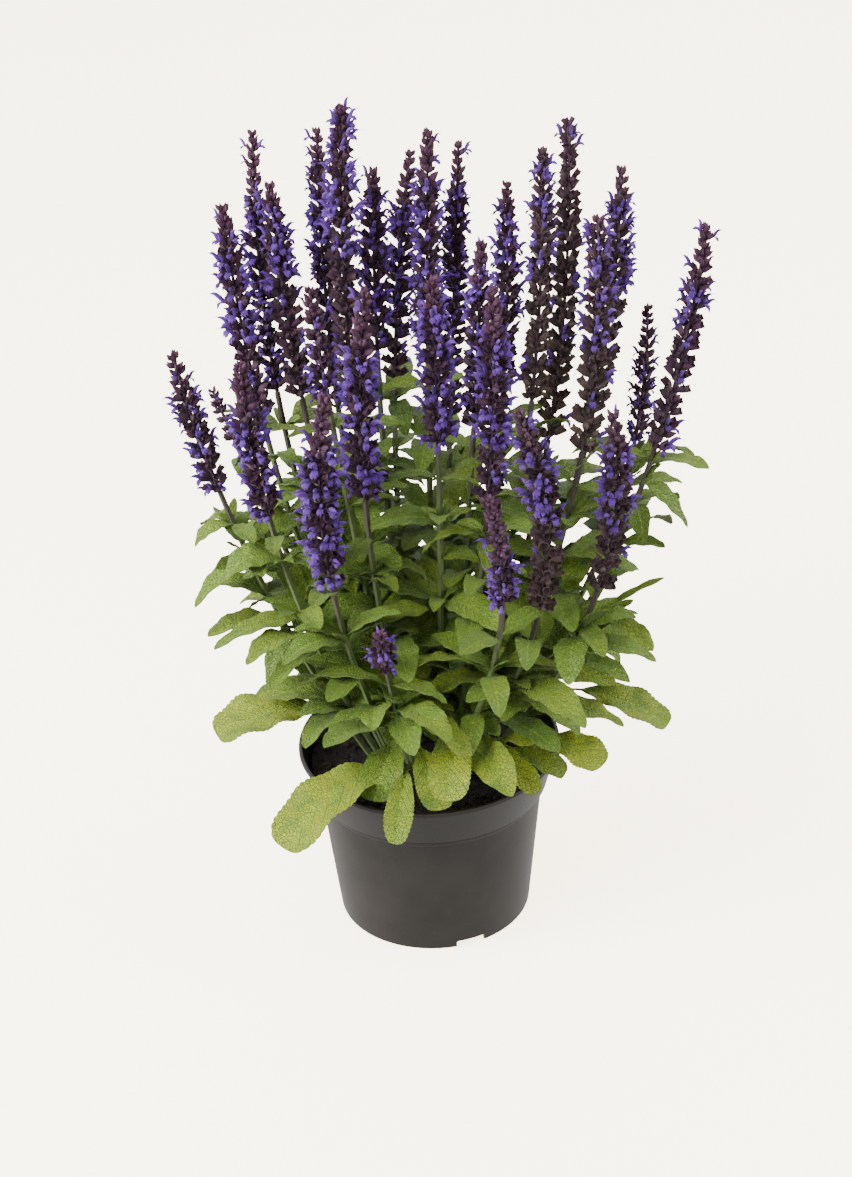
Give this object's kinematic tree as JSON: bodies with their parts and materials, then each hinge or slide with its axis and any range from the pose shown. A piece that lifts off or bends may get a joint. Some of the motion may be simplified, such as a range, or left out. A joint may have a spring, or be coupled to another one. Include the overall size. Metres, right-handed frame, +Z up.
{
  "type": "potted perennial salvia",
  "caption": "Perennial salvia in flower in a round nursery pot: leafy stems that fan out of dark soil, each topped by an upright spike of whorled violet-blue florets.",
  "frame": {"origin": "centre of the flat disc in the middle of the pot's underside, level with the foot that the pot stands on", "axes": "+Z straight up the plant, -Y the side that faces the viewer in the picture, +X to that viewer's right"},
  "size_m": [0.3726, 0.2607, 0.624],
  "materials": {
    "pot": "satin",
    "soil": "rough",
    "foliage": "matte",
    "bloom": "matte"
  },
  "bodies": {
    "root": {"pot": "pot", "soil": "soil", "stem_01": "foliage", "stem_02": "foliage", "stem_03": "foliage", "stem_04": "foliage", "stem_05": "foliage", "stem_06": "foliage", "stem_07": "foliage", "stem_08": "foliage", "stem_09": "foliage", "stem_10": "foliage", "stem_11": "foliage", "stem_12": "foliage", "stem_13": "foliage", "stem_14": "foliage", "stem_15": "foliage", "stem_16": "foliage", "stem_17": "foliage", "stem_18": "foliage", "stem_19": "foliage", "stem_20": "foliage", "stem_21": "foliage", "stem_22": "foliage", "stem_23": "foliage", "stem_24": "foliage", "stem_25": "foliage", "stem_26": "foliage", "stem_27": "foliage", "stem_28": "foliage", "stem_29": "foliage", "spike_01": "bloom", "spike_02": "bloom", "spike_03": "bloom", "spike_04": "bloom", "spike_05": "bloom", "spike_06": "bloom", "spike_07": "bloom", "spike_08": "bloom", "spike_09": "bloom", "spike_10": "bloom", "spike_11": "bloom", "spike_12": "bloom", "spike_13": "bloom", "spike_14": "bloom", "spike_15": "bloom", "spike_16": "bloom", "spike_17": "bloom", "spike_18": "bloom", "spike_19": "bloom", "spike_20": "bloom", "spike_21": "bloom", "spike_22": "bloom", "spike_23": "bloom", "spike_24": "bloom", "spike_25": "bloom", "spike_26": "bloom", "spike_27": "bloom", "spike_28": "bloom", "spike_29": "bloom"}
  },
  "joints": []
}
